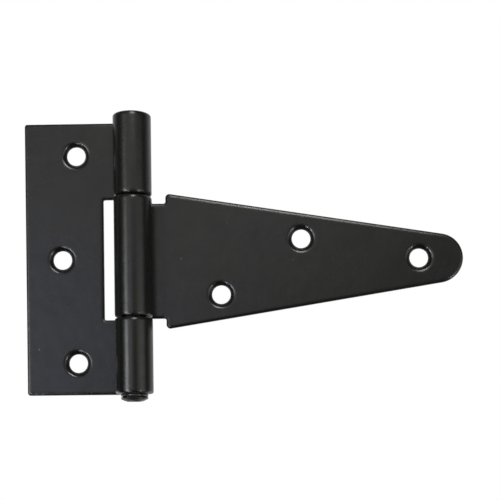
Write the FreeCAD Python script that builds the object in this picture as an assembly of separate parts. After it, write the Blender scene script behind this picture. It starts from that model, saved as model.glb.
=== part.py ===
"""A steel tee hinge, modelled open at 180 degrees.

The origin is on the pin's axis, half way up the butt leaf. +Z runs up the pin, +X runs towards the tip
of the strap, and +Y points into the post and gate that the hinge is screwed to. All lengths are in mm.
"""

import FreeCAD, Part
import math
import os

from FreeCAD import Vector

# Sheet and barrel
SHEET = 2.0                     # thickness of the steel that both leaves are blanked from
BARREL_RADIUS = 5.85            # outside of the rolled knuckles
ROLL_GAP = 0.15                 # between the end of a roll and the front of its leaf
PIN_CLEARANCE = 0.05            # radial, between the pin and the knuckles
END_PLAY_ABOVE = 0.25           # between the middle knuckle and the upper one
END_PLAY_BELOW = 0.30           # between the middle knuckle and the lower one
KNUCKLE_RISE = 1.1              # how far a knuckle's top end stands above the edge of its leaf
RISE_FOOT = 0.3                 # rounding where the edge of a leaf turns up to its knuckle
RISE_INSET = 0.4                # how far that turn lies inside the barrel's flank

# Butt leaf, the rectangular one
BUTT_REACH = 33.95              # pin's axis to the outer edge
BUTT_HEIGHT = 84.2
SLOT_REACH = 9.65               # pin's axis to the far side of the slot beside the barrel
SLOT_TOP = 18.45
SLOT_BOTTOM = -18.85
SLOT_CORNER = 0.5
BUTT_CORNER = 0.8
BUTT_HOLE_REACH = 18.05         # pin's axis to the upper and lower screw holes
BUTT_HOLE_SPACING = 64.4        # upper hole to lower hole
BUTT_MIDDLE_HOLE_REACH = 22.65

# Strap leaf, the tapered one
STRAP_LENGTH = 101.6            # pin's axis to the tip
STRAP_LEVEL = -0.8              # height of the strap's centre line, which sits low in the end play
NECK_HEIGHT = 35.8
SHOULDER_REACH = 9.6            # pin's axis to the shoulders
SHOULDER_HEIGHT = 42.1
SHOULDER_CORNER = 1.2
NECK_CORNER = 0.6
TIP_RADIUS = 7.6
STRAP_HOLES = (                 # distance from the pin's axis, height above the strap's centre line
    (26.75, -10.45),
    (51.65, 6.55),
    (88.05, 0.2),
)

# Screw holes and rounded edges
HOLE_RADIUS = 2.9
SINK_RADIUS = 4.0               # mouth of the countersink, before its rim is rounded
SINK_DEPTH = 1.15
SINK_ROUNDING = 0.9
HOLE_BACK_ROUNDING = 0.3
FRONT_ROUNDING = 0.75           # edges on the barrel's side of a leaf
BACK_ROUNDING = 0.75            # edges on the back of a leaf and at the ends of the knuckles

# Pin
HEAD_RADIUS = 4.35
HEAD_HEIGHT = 0.7
PEENED_RADIUS = 4.2
PEENED_HEIGHT = 2.5
PEENED_SIDE = 0.9               # height at which the peened end is widest, below the barrel

# Worked out from the above
BORE_RADIUS = BARREL_RADIUS - SHEET
SHANK_RADIUS = BORE_RADIUS - PIN_CLEARANCE
BACK_Y = BARREL_RADIUS
FRONT_Y = BARREL_RADIUS - SHEET
BARREL_TOP = BUTT_HEIGHT / 2 + KNUCKLE_RISE
BARREL_BOTTOM = -BUTT_HEIGHT / 2
MIDDLE_KNUCKLE_TOP = SLOT_TOP - END_PLAY_ABOVE
MIDDLE_KNUCKLE_BOTTOM = SLOT_BOTTOM + END_PLAY_BELOW
NECK_TOP = STRAP_LEVEL + NECK_HEIGHT / 2

# Angles round a knuckle, in degrees from the direction of its leaf
BACK_OF_BARREL = 90
FULL_TURN = 360

TOLERANCE = 1e-4
SAMPLES = 5                     # points tested along an edge to tell which face it lies on


def line(start, end):
    return Part.LineSegment(start, end).toShape()


def arc(start, middle, end):
    return Part.Arc(start, middle, end).toShape()


def on_barrel(radius, degrees, side, height):
    """A point of the barrel. side is -1 for a leaf that points to -X, and 1 for one that points to +X."""
    angle = math.radians(degrees)
    return Vector(side * radius * math.cos(angle), radius * math.sin(angle), height)


def roll(side, bottom, top):
    """A knuckle: the sheet, rolled from the leaf's plane round the pin until it nearly meets the leaf."""
    start = BACK_OF_BARREL
    end = FULL_TURN + math.degrees(math.asin((FRONT_Y - ROLL_GAP) / BARREL_RADIUS))
    middle = (start + end) / 2

    def at(radius, degrees):
        return on_barrel(radius, degrees, side, bottom)

    outline = Part.Wire([
        arc(at(BARREL_RADIUS, start), at(BARREL_RADIUS, middle), at(BARREL_RADIUS, end)),
        line(at(BARREL_RADIUS, end), at(BORE_RADIUS, end)),
        arc(at(BORE_RADIUS, end), at(BORE_RADIUS, middle), at(BORE_RADIUS, start)),
        line(at(BORE_RADIUS, start), at(BARREL_RADIUS, start)),
    ])
    return Part.Face(outline).extrude(Vector(0, 0, top - bottom))


def rounded_outline(corners):
    """A closed wire in the front plane, from (x, z, corner radius) points, with arcs at the corners."""
    points = [Vector(x, FRONT_Y, z) for x, z, _ in corners]
    radii = [radius for _, _, radius in corners]
    count = len(points)
    edges = []
    leave = []
    arrive = []
    for i in range(count):
        before = (points[i - 1] - points[i]).normalize()
        after = (points[(i + 1) % count] - points[i]).normalize()
        half = before.getAngle(after) / 2
        reach = radii[i] / math.tan(half)
        arrive.append(points[i] + before * reach)
        leave.append(points[i] + after * reach)
        if radii[i] > 0:
            inward = (before + after).normalize()
            nearest = points[i] + inward * (radii[i] / math.sin(half) - radii[i])
            edges.append((i, arc(arrive[i], nearest, leave[i])))
    for i in range(count):
        following = (i + 1) % count
        if (arrive[following] - leave[i]).Length > TOLERANCE:
            edges.append((i + 0.5, line(leave[i], arrive[following])))
    edges.sort(key=lambda entry: entry[0])
    return Part.Wire([edge for _, edge in edges])


def plate(outline, holes):
    """A flat leaf: the outline through the thickness of the sheet, less the countersunk screw holes."""
    solid = Part.Face(outline).extrude(Vector(0, SHEET, 0))
    inward = Vector(0, 1, 0)
    for x, z in holes:
        mouth = Vector(x, FRONT_Y, z)
        solid = solid.cut(Part.makeCylinder(HOLE_RADIUS, SHEET, mouth, inward))
        solid = solid.cut(Part.makeCone(SINK_RADIUS, HOLE_RADIUS, SINK_DEPTH, mouth, inward))
    return solid


def rise_corners(side, edge_z, knuckle_z):
    """The step from the edge of a leaf up to its knuckle, hidden behind the barrel's flank."""
    step_x = side * (BARREL_RADIUS - RISE_INSET)
    return [(step_x, edge_z, RISE_FOOT), (step_x, knuckle_z, KNUCKLE_RISE - RISE_FOOT)]


def is_on_surface(edge, side, plane_y, radius):
    """True if an edge lies on one face of the sheet: the leaf's plane, or the cylinder it rolls into."""
    first, last = edge.ParameterRange
    for step in range(SAMPLES):
        point = edge.valueAt(first + (last - first) * step / (SAMPLES - 1))
        on_plate = abs(point.y - plane_y) < TOLERANCE and side * point.x > -TOLERANCE
        on_roll = abs(math.hypot(point.x, point.y) - radius) < TOLERANCE
        if not (on_plate or on_roll):
            return False
    return True


def is_upright_on_roll(edge, radius):
    """True for the lines along a knuckle, where the roll begins and where it ends."""
    ends = [vertex.Point for vertex in edge.Vertexes]
    upright = abs(ends[0].x - ends[-1].x) < TOLERANCE and abs(ends[0].y - ends[-1].y) < TOLERANCE
    return upright and abs(math.hypot(ends[0].x, ends[0].y) - radius) < TOLERANCE


def is_hole_rim(edge):
    """True for the circles where a screw hole or its countersink meets a face of the sheet."""
    if not isinstance(edge.Curve, Part.Circle):
        return False
    return any(abs(edge.Curve.Radius - radius) < TOLERANCE for radius in (HOLE_RADIUS, SINK_RADIUS))


def round_rim(solid, side, plane_y, radius, rounding):
    """Rounds every edge round one face of the sheet, leaf and knuckles together."""
    rim = []
    for edge in solid.Edges:
        lies_here = is_on_surface(edge, side, plane_y, radius)
        if lies_here and not is_hole_rim(edge) and not is_upright_on_roll(edge, radius):
            rim.append(edge)
    return solid.makeFillet(rounding, rim)


def round_holes(solid, plane_y, rounding):
    """Rounds the rims of the screw holes on one face of a leaf."""
    rims = []
    for edge in solid.Edges:
        if is_hole_rim(edge) and abs(edge.Curve.Center.y - plane_y) < TOLERANCE:
            rims.append(edge)
    return solid.makeFillet(rounding, rims)


def round_leaf(solid, side):
    solid = round_rim(solid, side, BACK_Y, BARREL_RADIUS, BACK_ROUNDING)
    solid = round_rim(solid, side, FRONT_Y, BORE_RADIUS, FRONT_ROUNDING)
    solid = round_holes(solid, FRONT_Y, SINK_ROUNDING)
    return round_holes(solid, BACK_Y, HOLE_BACK_ROUNDING)


def butt_leaf():
    """The rectangular leaf, with an upper and a lower knuckle and a slot between them."""
    side = -1
    top = BUTT_HEIGHT / 2
    outline = rounded_outline([
        (0, BARREL_TOP, 0),
        (0, SLOT_TOP, 0),
        (side * SLOT_REACH, SLOT_TOP, SLOT_CORNER),
        (side * SLOT_REACH, SLOT_BOTTOM, SLOT_CORNER),
        (0, SLOT_BOTTOM, 0),
        (0, BARREL_BOTTOM, 0),
        (side * BUTT_REACH, BARREL_BOTTOM, BUTT_CORNER),
        (side * BUTT_REACH, top, BUTT_CORNER),
        *rise_corners(side, top, BARREL_TOP),
    ])
    holes = [
        (side * BUTT_HOLE_REACH, BUTT_HOLE_SPACING / 2),
        (side * BUTT_HOLE_REACH, -BUTT_HOLE_SPACING / 2),
        (side * BUTT_MIDDLE_HOLE_REACH, 0),
    ]
    upper_knuckle = roll(side, SLOT_TOP, BARREL_TOP)
    lower_knuckle = roll(side, BARREL_BOTTOM, SLOT_BOTTOM)
    solid = plate(outline, holes).fuse([upper_knuckle, lower_knuckle]).removeSplitter()
    return round_leaf(solid, side)


def strap_outline():
    """The strap's outline: a neck, square shoulders, a straight taper and a round tip."""
    low_shoulder = STRAP_LEVEL - SHOULDER_HEIGHT / 2
    high_shoulder = STRAP_LEVEL + SHOULDER_HEIGHT / 2
    run = STRAP_LENGTH - TIP_RADIUS - SHOULDER_REACH
    rise = SHOULDER_HEIGHT / 2
    taper = math.atan2(rise, run) - math.asin(TIP_RADIUS / math.hypot(run, rise))
    tip_corner = rise - (STRAP_LENGTH - SHOULDER_REACH) * math.tan(taper)
    return rounded_outline([
        (0, MIDDLE_KNUCKLE_BOTTOM, 0),
        (SHOULDER_REACH, MIDDLE_KNUCKLE_BOTTOM, NECK_CORNER),
        (SHOULDER_REACH, low_shoulder, SHOULDER_CORNER),
        (STRAP_LENGTH, STRAP_LEVEL - tip_corner, TIP_RADIUS),
        (STRAP_LENGTH, STRAP_LEVEL + tip_corner, TIP_RADIUS),
        (SHOULDER_REACH, high_shoulder, SHOULDER_CORNER),
        (SHOULDER_REACH, NECK_TOP, NECK_CORNER),
        *rise_corners(1, NECK_TOP, MIDDLE_KNUCKLE_TOP),
        (0, MIDDLE_KNUCKLE_TOP, 0),
    ])


def strap_leaf():
    """The long tapered leaf, with the middle knuckle at the end of its neck."""
    holes = [(x, STRAP_LEVEL + z) for x, z in STRAP_HOLES]
    middle_knuckle = roll(1, MIDDLE_KNUCKLE_BOTTOM, MIDDLE_KNUCKLE_TOP)
    solid = plate(strap_outline(), holes).fuse(middle_knuckle).removeSplitter()
    return round_leaf(solid, 1)


def dome(radius, height, level, up):
    """A low round cap on the plane z = level. up is 1 for a cap that rises from it and -1 for one below."""
    ball_radius = (radius ** 2 + height ** 2) / (2 * height)
    ball = Part.makeSphere(ball_radius, Vector(0, 0, level + up * (height - ball_radius)))
    drum = Part.makeCylinder(radius, height, Vector(0, 0, level), Vector(0, 0, up))
    return drum.common(ball)


def hinge_pin():
    """The pin: a low head on the barrel, a plain shank through the knuckles and a peened lower end."""
    length = BARREL_TOP - BARREL_BOTTOM
    down = Vector(0, 0, -1)
    shank = Part.makeCylinder(SHANK_RADIUS, length, Vector(0, 0, BARREL_BOTTOM), Vector(0, 0, 1))
    head = dome(HEAD_RADIUS, HEAD_HEIGHT, BARREL_TOP, 1)
    flare = Part.makeCone(BORE_RADIUS, PEENED_RADIUS, PEENED_SIDE, Vector(0, 0, BARREL_BOTTOM), down)
    button = dome(PEENED_RADIUS, PEENED_HEIGHT - PEENED_SIDE, BARREL_BOTTOM - PEENED_SIDE, -1)
    return shank.fuse([head, flare, button]).removeSplitter()


def main():
    os.makedirs("parts", exist_ok=True)
    nodes = {
        "butt_leaf": butt_leaf(),
        "strap_leaf": strap_leaf(),
        "hinge_pin": hinge_pin(),
    }
    for name, shape in nodes.items():
        shape.exportStep(os.path.join("parts", name + ".step"))


main()
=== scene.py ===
import math
import random

import bmesh
import bpy
from mathutils import Euler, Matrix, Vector, noise


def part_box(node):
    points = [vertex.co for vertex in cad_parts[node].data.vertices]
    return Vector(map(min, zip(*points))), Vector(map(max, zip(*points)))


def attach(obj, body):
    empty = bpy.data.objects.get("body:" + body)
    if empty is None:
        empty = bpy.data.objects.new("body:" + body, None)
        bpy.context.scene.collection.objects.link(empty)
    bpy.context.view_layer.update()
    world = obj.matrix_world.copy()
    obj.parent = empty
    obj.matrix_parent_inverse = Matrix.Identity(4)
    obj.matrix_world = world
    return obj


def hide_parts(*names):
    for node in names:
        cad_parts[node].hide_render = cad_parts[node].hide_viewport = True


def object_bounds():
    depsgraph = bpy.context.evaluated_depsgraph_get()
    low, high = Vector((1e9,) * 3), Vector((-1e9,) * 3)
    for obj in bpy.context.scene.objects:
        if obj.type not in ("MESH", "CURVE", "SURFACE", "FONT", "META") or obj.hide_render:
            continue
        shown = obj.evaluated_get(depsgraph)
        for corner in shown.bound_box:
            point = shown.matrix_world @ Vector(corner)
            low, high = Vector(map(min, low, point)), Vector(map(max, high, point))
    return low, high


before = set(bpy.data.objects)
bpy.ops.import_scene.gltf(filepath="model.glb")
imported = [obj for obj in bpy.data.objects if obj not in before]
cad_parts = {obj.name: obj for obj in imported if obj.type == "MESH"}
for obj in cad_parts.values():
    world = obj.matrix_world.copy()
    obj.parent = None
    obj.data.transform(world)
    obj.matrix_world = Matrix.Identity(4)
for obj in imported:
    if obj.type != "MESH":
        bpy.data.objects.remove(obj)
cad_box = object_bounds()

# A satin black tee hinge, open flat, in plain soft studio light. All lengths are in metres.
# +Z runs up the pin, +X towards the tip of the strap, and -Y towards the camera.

MM = 0.001

# Places worked out from the parts in model.glb
LEAF_LOW, LEAF_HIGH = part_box("butt_leaf")
PIN_LOW, PIN_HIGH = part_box("hinge_pin")
BARREL_TOP = LEAF_HIGH.z
BARREL_BOTTOM = LEAF_LOW.z
OBJECT_LOW, OBJECT_HIGH = cad_box

# Pin
SHANK_RADIUS = 3.8 * MM
HEAD_RADIUS = PIN_HIGH.x
PEENED_RADIUS = 4.2 * MM
COLLAR_DEPTH = 0.8 * MM         # the upper of the two folds that the hammer squeezed out of the end
FOLD_DEPTH = 0.55 * MM          # how far the groove between the folds goes in
BUTTON_ROUNDING = 0.35 * MM     # at the upper rim of the lower fold
BUTTON_FULLNESS = 0.75          # 1 is a round underside, and lower powers are flatter
ROUND_STEPS = 160               # faces round the pin
BLOWS = 16                      # hammer marks on the peened end
BLOW_DEPTH = 0.30 * MM

# Coat
EDGE_ROLL = 1.2 * MM           # how far in from an edge the coat starts to turn over it

# Camera
CAMERA_PLACE = Vector((42.52, -341.09, -58.63)) * MM
CAMERA_TURN = (89.148, 0.527, 1.210)    # degrees about X, Y and Z
CAMERA_LENS = 80.0                      # mm, on a 36 mm sensor
CAMERA_RISE = 0.4265                    # share of the frame by which the lens is shifted up

# Studio
LIGHT_TARGET = Vector((0.0, 0.0, 0.0))
FLOOR_SIZE = 3.0


def new_material(name):
    """An empty node material with its output, ready for a shader."""
    material = bpy.data.materials.new(name)
    material.use_nodes = True
    material.node_tree.nodes.clear()
    return material, material.node_tree


def add(tree, kind, settings=None, **inputs):
    """One node. settings are its own properties, and inputs are values or sockets for its inputs."""
    node = tree.nodes.new(kind)
    for key, value in (settings or {}).items():
        setattr(node, key, value)
    for key, value in inputs.items():
        socket = node.inputs[int(key[1:])] if key[0] == "_" else node.inputs[key.replace("_", " ")]
        if isinstance(value, bpy.types.NodeSocket):
            tree.links.new(value, socket)
        else:
            socket.default_value = value
    return node


def math_node(tree, operation, first, second=0.0):
    return add(tree, "ShaderNodeMath", {"operation": operation}, _0=first, _1=second).outputs[0]


def remap(tree, value, low, high, new_low, new_high):
    node = add(tree, "ShaderNodeMapRange", {"clamp": True}, _0=value, _1=low, _2=high, _3=new_low, _4=new_high)
    return node.outputs[0]


def noise_of(tree, place, feature_size, detail=2.0):
    """Smooth noise from 0 to 1 whose features are about feature_size metres wide."""
    node = add(tree, "ShaderNodeTexNoise", Vector=place, Scale=1 / feature_size, Detail=detail)
    return node.outputs[0]


def mix_colour(tree, share, first, second):
    node = add(tree, "ShaderNodeMix", {"data_type": "RGBA"}, _0=share, _6=first, _7=second)
    return node.outputs[2]


def bump(tree, height, depth, normal=None):
    """Surface relief of the given depth in metres."""
    node = add(tree, "ShaderNodeBump", Strength=1.0, Distance=depth, Height=height)
    if normal is not None:
        tree.links.new(normal, node.inputs["Normal"])
    return node.outputs[0]


def edge_mask(tree, reach):
    """0 on open surfaces, rising to 1 on edges and corners."""
    rounded = add(tree, "ShaderNodeBevel", {"samples": 6}, Radius=reach).outputs[0]
    true_normal = add(tree, "ShaderNodeNewGeometry").outputs["Normal"]
    dot = add(tree, "ShaderNodeVectorMath", {"operation": "DOT_PRODUCT"}, _0=rounded, _1=true_normal)
    return remap(tree, dot.outputs["Value"], 0.995, 0.93, 0.0, 1.0)


def dust(tree, place):
    """Specks of pale dust a third of a millimetre wide, on a few of the cells of a 5 mm pattern."""
    cells = add(tree, "ShaderNodeTexVoronoi", Vector=place, Scale=1 / (5 * MM))
    chosen = add(tree, "ShaderNodeSeparateColor", Color=cells.outputs["Color"]).outputs[0]
    speck = remap(tree, cells.outputs["Distance"], 0.024, 0.044, 1.0, 0.0)
    return math_node(tree, "MULTIPLY", speck, remap(tree, chosen, 0.72, 0.95, 0.0, 0.9))


def powder_coat():
    """Satin black powder coat: orange peel, faint warm and cool clouds, worn edges and a little dust."""
    material, tree = new_material("powder_coat_black")
    place = add(tree, "ShaderNodeTexCoord").outputs["Object"]
    cloud = noise_of(tree, place, 26 * MM)
    patch = noise_of(tree, place, 9 * MM, 3.0)
    mottle = noise_of(tree, place, 3.0 * MM, 3.0)
    wave = noise_of(tree, place, 7 * MM)
    peel = noise_of(tree, place, 0.9 * MM)
    grain = noise_of(tree, place, 0.22 * MM)

    warm = (0.0078, 0.0076, 0.0060, 1)
    cool = (0.0060, 0.0062, 0.0074, 1)
    dark = (0.0036, 0.0036, 0.0036, 1)
    worn = (0.050, 0.050, 0.049, 1)
    dusty = (0.26, 0.26, 0.25, 1)
    colour = mix_colour(tree, remap(tree, cloud, 0.38, 0.62, 0, 1), warm, cool)
    colour = mix_colour(tree, remap(tree, mottle, 0.35, 0.65, 0, 0.45), colour, dark)
    rub = math_node(tree, "MULTIPLY", edge_mask(tree, 0.5 * MM), remap(tree, mottle, 0.45, 0.65, 0.0, 0.5))
    colour = mix_colour(tree, rub, colour, worn)
    colour = mix_colour(tree, dust(tree, place), colour, dusty)

    rolled_edges = add(tree, "ShaderNodeBevel", {"samples": 8}, Radius=EDGE_ROLL).outputs[0]
    relief = bump(tree, wave, 0.075 * MM, rolled_edges)
    relief = bump(tree, peel, 0.016 * MM, relief)
    relief = bump(tree, grain, 0.002 * MM, relief)

    shader = add(
        tree, "ShaderNodeBsdfPrincipled", Base_Color=colour, Normal=relief, IOR=1.5,
        Roughness=remap(tree, patch, 0.30, 0.70, 0.255, 0.285),
        Specular_IOR_Level=remap(tree, mottle, 0.3, 0.7, 0.46, 0.54),
    )
    add(tree, "ShaderNodeOutputMaterial", Surface=shader.outputs[0])
    return material


def peened_steel():
    """The pin: the same black coat, broken on the hammered end where uncoated steel shows on the ridges, with a
    light steel band round the upper fold, partly worn and partly a painted highlight.
    """
    material, tree = new_material("pin_black")
    place = add(tree, "ShaderNodeTexCoord").outputs["Object"]
    mottle = noise_of(tree, place, 0.8 * MM, 3.0)
    grain = noise_of(tree, place, 0.15 * MM)
    coat = mix_colour(tree, mottle, (0.011, 0.011, 0.011, 1), (0.004, 0.004, 0.005, 1))
    height = add(tree, "ShaderNodeSeparateXYZ", Vector=place).outputs["Z"]
    # Round the upper fold a band of light steel: partly wear, partly a painted highlight standing in for the light
    # that the fold catches.
    off_collar = math_node(tree, "ABSOLUTE", math_node(tree, "SUBTRACT", height, BARREL_BOTTOM - COLLAR_DEPTH / 2))
    fold_wear_and_highlight = remap(tree, off_collar, 0.1 * MM, 0.32 * MM, 0.6, 0.0)
    wear_and_highlight = math_node(tree, "MAXIMUM", edge_mask(tree, 0.2 * MM), fold_wear_and_highlight)
    steel_wear_and_highlight = math_node(tree, "MULTIPLY", wear_and_highlight, remap(tree, mottle, 0.36, 0.58, 0.15, 0.9))
    # Light steel on worn ridges and edges, and on the fold's band as a painted highlight.
    colour = mix_colour(tree, steel_wear_and_highlight, coat, (0.42, 0.41, 0.40, 1))
    relief = bump(tree, mottle, 0.05 * MM)
    relief = bump(tree, grain, 0.006 * MM, relief)
    shader = add(
        tree, "ShaderNodeBsdfPrincipled", Base_Color=colour, Metallic=steel_wear_and_highlight, Normal=relief,
        Roughness=remap(tree, mottle, 0.3, 0.7, 0.26, 0.42),
    )
    add(tree, "ShaderNodeOutputMaterial", Surface=shader.outputs[0])
    return material


def ring_points(steps, start, end):
    """Evenly spaced angles in radians, from start to end degrees."""
    return [math.radians(start + (end - start) * i / steps) for i in range(steps + 1)]


def pin_profile():
    """Radius and height pairs down the outside of the pin, from the top of its head to the bottom."""
    head_height = PIN_HIGH.z - BARREL_TOP
    points = [
        (HEAD_RADIUS * math.sin(angle), BARREL_TOP + head_height * math.cos(angle))
        for angle in ring_points(14, 6, 90)
    ]
    rings = 24
    for i in range(rings):
        points.append((SHANK_RADIUS, BARREL_TOP + (BARREL_BOTTOM - BARREL_TOP) * i / rings))

    collar_middle = BARREL_BOTTOM - COLLAR_DEPTH / 2
    collar_swell = PEENED_RADIUS - SHANK_RADIUS
    for angle in ring_points(16, 90, -80):
        radius = PEENED_RADIUS - collar_swell * (1 - math.cos(angle))
        points.append((radius, collar_middle + COLLAR_DEPTH / 2 * math.sin(angle)))
    button_top = BARREL_BOTTOM - COLLAR_DEPTH
    points.append((PEENED_RADIUS - FOLD_DEPTH, button_top))
    button_depth = button_top - PIN_LOW.z
    for angle in ring_points(40, 50, -88):
        up = math.sin(angle)
        half = BUTTON_ROUNDING if up > 0 else button_depth - BUTTON_ROUNDING
        out = math.cos(angle) ** BUTTON_FULLNESS
        points.append((PEENED_RADIUS * out, button_top - BUTTON_ROUNDING + half * up))
    return points


def hammer(point, blows):
    """Flattens a point of the peened end under each hammer blow, and roughens what is left."""
    for centre, normal in blows:
        over = (point - centre).dot(normal)
        if over > 0:
            point = point - normal * over * 0.85
    out = Vector((point.x, point.y, 0))
    if out.length > 0.5 * MM:
        ridge = noise.noise(Vector((point.x * 0.35, point.y * 0.35, point.z * 1.6)) / (0.5 * MM))
        fold = noise.noise(point / (1.1 * MM))
        crumb = noise.noise(point / (0.28 * MM))
        share = min(1.0, out.length / SHANK_RADIUS)
        change = (0.10 * ridge + 0.10 * fold + 0.04 * crumb) * MM * share
        out = out.normalized() * min(out.length + change, PEENED_RADIUS)
    depth = 0.12 * MM * noise.noise(point / (0.6 * MM))
    return Vector((out.x, out.y, max(point.z + depth, PIN_LOW.z)))


def hammer_blows():
    """The flats left by a hammer: a point on each flat and the way that it faces."""
    draw = random.Random(11)
    rim = Vector((0, 0, BARREL_BOTTOM - COLLAR_DEPTH - BUTTON_ROUNDING))
    depth = rim.z - PIN_LOW.z
    blows = []
    for i in range(BLOWS):
        turn = 2 * math.pi * (i + draw.uniform(-0.4, 0.4)) * 0.381966
        lean = math.radians(draw.uniform(4, 40))
        normal = Vector((math.sin(lean) * math.cos(turn), math.sin(lean) * math.sin(turn), -math.cos(lean)))
        reach = math.hypot(PEENED_RADIUS * math.sin(lean), depth * math.cos(lean))
        blows.append((rim + normal * (reach - draw.uniform(0.0, 1.0) * BLOW_DEPTH), normal))
    return blows


def make_pin():
    """The pin, turned from its profile, with a hammered lower end."""
    mesh = bpy.data.meshes.new("pin")
    build = bmesh.new()
    blows = hammer_blows()
    top = build.verts.new((0, 0, PIN_HIGH.z))
    rings = []
    for radius, height in pin_profile():
        ring = []
        for i in range(ROUND_STEPS):
            angle = 2 * math.pi * i / ROUND_STEPS
            point = Vector((radius * math.cos(angle), radius * math.sin(angle), height))
            if height < BARREL_BOTTOM:
                point = hammer(point, blows)
            ring.append(build.verts.new(point))
        rings.append(ring)
    bottom = build.verts.new(hammer(Vector((0, 0, PIN_LOW.z)), blows))
    for i in range(ROUND_STEPS):
        j = (i + 1) % ROUND_STEPS
        build.faces.new((top, rings[0][i], rings[0][j]))
        for upper, lower in zip(rings, rings[1:]):
            build.faces.new((upper[i], lower[i], lower[j], upper[j]))
        build.faces.new((rings[-1][i], bottom, rings[-1][j]))
    build.to_mesh(mesh)
    build.free()
    for face in mesh.polygons:
        face.use_smooth = True
    pin = bpy.data.objects.new("peened_pin", mesh)
    bpy.context.scene.collection.objects.link(pin)
    return pin


def soft_light(name, azimuth, elevation, distance, width, height, power, colour=(1, 1, 1)):
    """A softbox. Azimuth 0 is on the camera's side of the hinge, and positive is to its right."""
    data = bpy.data.lights.new(name, "AREA")
    data.shape = "RECTANGLE"
    data.size = width
    data.size_y = height
    data.energy = power
    data.color = colour
    light = bpy.data.objects.new(name, data)
    a = math.radians(azimuth)
    e = math.radians(elevation)
    away = Vector((math.sin(a) * math.cos(e), -math.cos(a) * math.cos(e), math.sin(e)))
    light.location = LIGHT_TARGET + away * distance
    light.visible_camera = False
    light.rotation_mode = "QUATERNION"
    light.rotation_quaternion = (-away).to_track_quat("-Z", "Y")
    bpy.context.scene.collection.objects.link(light)
    return light


def make_lights():
    soft_light("low_softbox", -28, -38, 0.70, 0.13, 0.13, 1.6, (0.91, 0.94, 1.0))
    soft_light("left_softbox", -40, -20, 0.70, 0.12, 0.16, 2.0, (0.91, 0.94, 1.0))
    soft_light("right_softbox", 48, -24, 0.70, 0.10, 0.12, 1.0, (1.0, 0.98, 0.95))
    soft_light("top_softbox", 9, 38, 0.70, 0.21, 0.17, 2.5, (1.0, 0.98, 0.95))
    soft_light("front_panel", 6, 12, 0.51, 0.15, 0.12, 0.014, (1.0, 1.0, 0.95))


def towards(azimuth, elevation):
    """The direction from the hinge to a place. Azimuth 0 is on the camera's side, and positive is to its right."""
    a = math.radians(azimuth)
    e = math.radians(elevation)
    return Vector((math.sin(a) * math.cos(e), -math.cos(a) * math.cos(e), math.sin(e)))


def add_glow(tree, light, direction, azimuth, elevation, inner, outer, colour):
    """Adds a soft round patch to the light of the room, full inside inner degrees and none past outer."""
    middle = towards(azimuth, elevation)
    dot = add(tree, "ShaderNodeVectorMath", {"operation": "DOT_PRODUCT"}, _0=direction, _1=middle)
    low = math.cos(math.radians(outer))
    high = math.cos(math.radians(inner))
    patch = add(
        tree, "ShaderNodeMapRange", {"interpolation_type": "SMOOTHSTEP"},
        _0=dot.outputs["Value"], _1=low, _2=high,
    ).outputs[0]
    total = add(tree, "ShaderNodeVectorMath", {"operation": "MULTIPLY_ADD"}, _0=patch, _1=colour, _2=light)
    return total.outputs[0]


def make_world():
    """A white backdrop for the camera. For everything else, a dark room with pale walls and a pale table."""
    world = bpy.data.worlds.new("studio")
    world.use_nodes = True
    tree = world.node_tree
    tree.nodes.clear()
    direction = add(tree, "ShaderNodeTexCoord").outputs["Generated"]
    light = (0.035, 0.035, 0.033)
    light = add_glow(tree, light, direction, -27, -1, 6, 42, (0.54, 0.535, 0.42))
    light = add_glow(tree, light, direction, -39, -1, 1, 13, (8.3, 8.5, 9.1))
    light = add_glow(tree, light, direction, -14, 4, 1, 11, (0.96, 1.03, 1.62))
    light = add_glow(tree, light, direction, 27, 14, 3, 15, (0.50, 0.50, 0.48))
    light = add_glow(tree, light, direction, 52, -14, 6, 35, (1.55, 1.55, 1.50))
    light = add_glow(tree, light, direction, 180, 10, 40, 95, (0.75, 0.74, 0.75))
    light = add_glow(tree, light, direction, 128, -26, 4, 30, (1.1, 1.1, 1.1))
    light = add_glow(tree, light, direction, 232, -26, 4, 30, (1.1, 1.1, 1.1))
    room = add(tree, "ShaderNodeBackground", Color=light)
    backdrop = add(tree, "ShaderNodeBackground", Color=(1, 1, 1, 1), Strength=1.0)
    seen = add(tree, "ShaderNodeLightPath").outputs["Is Camera Ray"]
    both = add(tree, "ShaderNodeMixShader", _0=seen, _1=room.outputs[0], _2=backdrop.outputs[0])
    add(tree, "ShaderNodeOutputWorld", Surface=both.outputs[0])
    bpy.context.scene.world = world


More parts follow.
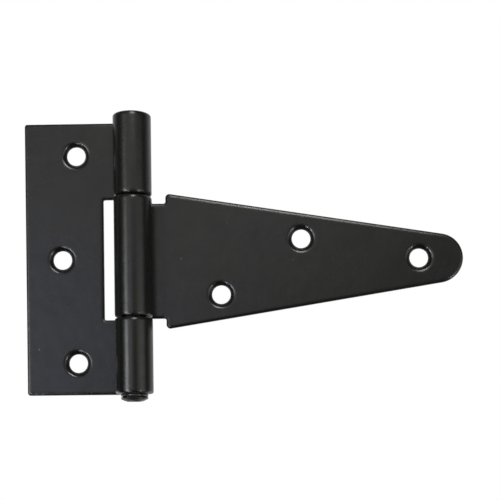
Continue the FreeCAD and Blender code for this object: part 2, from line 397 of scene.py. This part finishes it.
def floor_material():
    """Pale matt paper, seen only from above, that fades into the backdrop away from the hinge."""
    material, tree = new_material("pale_floor")
    place = add(tree, "ShaderNodeTexCoord").outputs["Object"]
    away = add(tree, "ShaderNodeVectorMath", {"operation": "LENGTH"}, _0=place).outputs["Value"]
    underside = add(tree, "ShaderNodeNewGeometry").outputs["Backfacing"]
    gone = math_node(tree, "MAXIMUM", underside, remap(tree, away, 0.15, 0.6, 0, 1))
    paper = add(tree, "ShaderNodeBsdfDiffuse", Color=(0.85, 0.85, 0.85, 1))
    clear = add(tree, "ShaderNodeBsdfTransparent")
    both = add(tree, "ShaderNodeMixShader", _0=gone, _1=paper.outputs[0], _2=clear.outputs[0])
    add(tree, "ShaderNodeOutputMaterial", Surface=both.outputs[0])
    return material


def make_floor():
    mesh = bpy.data.meshes.new("floor")
    half = FLOOR_SIZE / 2
    corners = [(-half, -half, 0), (half, -half, 0), (half, half, 0), (-half, half, 0)]
    mesh.from_pydata(corners, [], [(0, 1, 2, 3)])
    mesh.materials.append(floor_material())
    floor = bpy.data.objects.new("floor", mesh)
    floor.location = ((OBJECT_LOW.x + OBJECT_HIGH.x) / 2, 0, OBJECT_LOW.z)
    floor.visible_glossy = False
    bpy.context.scene.collection.objects.link(floor)


def make_camera():
    """The camera looks up at the hinge from below its middle, with the lens shifted up to keep it in frame."""
    data = bpy.data.cameras.new("camera")
    data.sensor_width = 36.0
    data.lens = CAMERA_LENS
    camera = bpy.data.objects.new("camera", data)
    camera.location = CAMERA_PLACE
    camera.rotation_euler = Euler([math.radians(angle) for angle in CAMERA_TURN])
    bpy.context.scene.collection.objects.link(camera)
    bpy.context.scene.camera = camera

    place = bpy.data.objects.new("camera_place", None)
    place.location = CAMERA_PLACE
    bpy.context.scene.collection.objects.link(place)
    driver = data.driver_add("shift_y").driver
    driver.type = "SCRIPTED"
    moved = driver.variables.new()
    moved.name = "moved"
    moved.type = "LOC_DIFF"
    moved.targets[0].id = camera
    moved.targets[1].id = place
    driver.expression = f"{CAMERA_RISE} if moved < 0.001 else 0"


coat = powder_coat()
for node in ("butt_leaf", "strap_leaf", "hinge_pin"):
    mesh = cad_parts[node].data
    mesh.materials.clear()
    mesh.materials.append(coat)

pin = make_pin()
pin.data.materials.append(peened_steel())
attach(pin, "butt")
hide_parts("hinge_pin")

make_lights()
make_world()
make_floor()
make_camera()
bpy.context.scene.view_settings.view_transform = "Standard"
